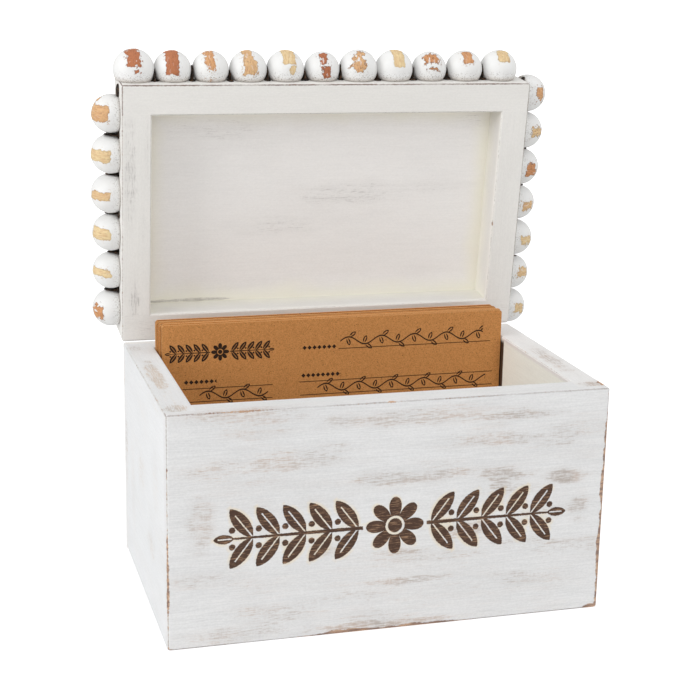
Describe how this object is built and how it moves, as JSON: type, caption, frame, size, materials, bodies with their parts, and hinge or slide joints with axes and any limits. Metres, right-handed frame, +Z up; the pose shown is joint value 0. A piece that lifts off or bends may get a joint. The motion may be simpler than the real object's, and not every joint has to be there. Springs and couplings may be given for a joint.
{
  "type": "recipe card box",
  "caption": "Worn white wooden card box with a bead-edged lid on stop hinges, open over a stack of brown cards.",
  "frame": {"origin": "centre of the box's base, on the table", "axes": "+X to the right, +Y to the back where the hinges are, +Z up"},
  "size_m": [0.2014, 0.1329, 0.2187],
  "materials": {
    "painted_wood": "white chalky paint, brushed out and rubbed through to bare wood at the edges",
    "painted_balls": "white paint, each ball rubbed through to bare wood on its outer side",
    "card": "speckled brown kraft card, matt",
    "hinge_brass": "satin, slightly aged",
    "brad_steel": "bare wire"
  },
  "bodies": {
    "box": {"front_panel": "painted_wood", "back_panel": "painted_wood", "left_panel": "painted_wood", "right_panel": "painted_wood", "bottom_panel": "painted_wood", "corner_brads": "brad_steel", "cards_back": "card", "cards_middle": "card", "cards_front": "card", "box_leaf_left": "hinge_brass", "box_leaf_right": "hinge_brass", "hinge_pin_left": "hinge_brass", "hinge_pin_right": "hinge_brass"},
    "lid": {"lid_board": "painted_wood", "lid_front_rail": "painted_wood", "lid_back_rail": "painted_wood", "lid_left_rail": "painted_wood", "lid_right_rail": "painted_wood", "edge_beads": "painted_balls", "lid_leaf_left": "hinge_brass", "lid_leaf_right": "hinge_brass"}
  },
  "joints": [
    {"name": "lid_hinge", "type": "hinge", "parent": "box", "child": "lid", "pos_m": [0, 0.0555, 0.0941], "axis": [1, 0, 0], "range_deg": [0, 83.3]}
  ]
}
